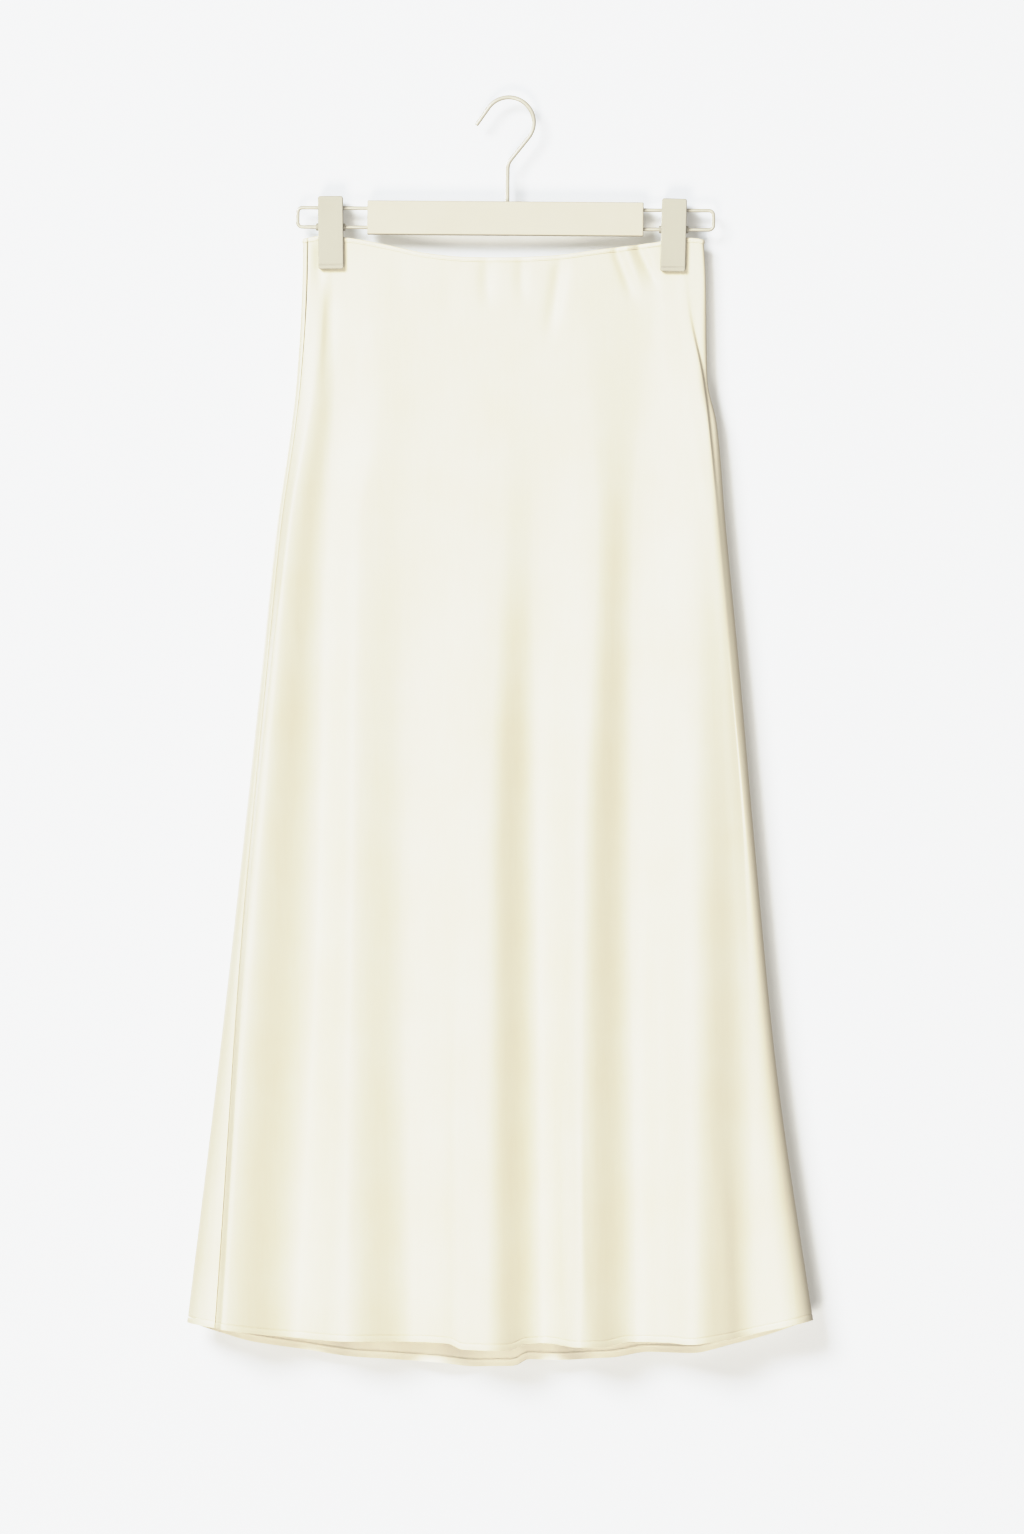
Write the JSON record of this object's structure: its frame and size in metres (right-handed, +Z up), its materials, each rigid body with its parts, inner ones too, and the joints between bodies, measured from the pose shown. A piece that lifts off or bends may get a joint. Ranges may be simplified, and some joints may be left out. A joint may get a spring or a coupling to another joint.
{
  "type": "satin skirt on a clip hanger",
  "caption": "Cream satin midi skirt in soft vertical folds, held at the waist by the clips of a flat hanger with a wire hook.",
  "frame": {"origin": "underside of the hook's crown, where a rail or peg carries the hanger", "axes": "+Z up, +X to the right seen from the front, +Y from the front to the back"},
  "size_m": [0.5014, 0.063, 1.0198],
  "materials": {
    "satin": "cream satin, smooth and softly lustrous",
    "satin_edge": "folded satin edge",
    "hanger_block": "smooth matte lacquer, warm greige",
    "coated_wire": "powder-coated steel wire",
    "clip_plastic": "moulded, matte, warm greige",
    "clip_pivot": "moulded sleeve in the clips' shade"
  },
  "bodies": {
    "root": {"front_panel": "satin", "back_panel": "satin", "front_waist_binding": "satin_edge", "back_waist_binding": "satin_edge", "hanger_block": "hanger_block", "hanger_hook": "coated_wire", "left_rail": "coated_wire", "right_rail": "coated_wire", "left_clip_front_jaw": "clip_plastic", "left_clip_back_jaw": "clip_plastic", "left_clip_pivot": "clip_pivot", "right_clip_front_jaw": "clip_plastic", "right_clip_back_jaw": "clip_plastic", "right_clip_pivot": "clip_pivot"}
  },
  "joints": []
}
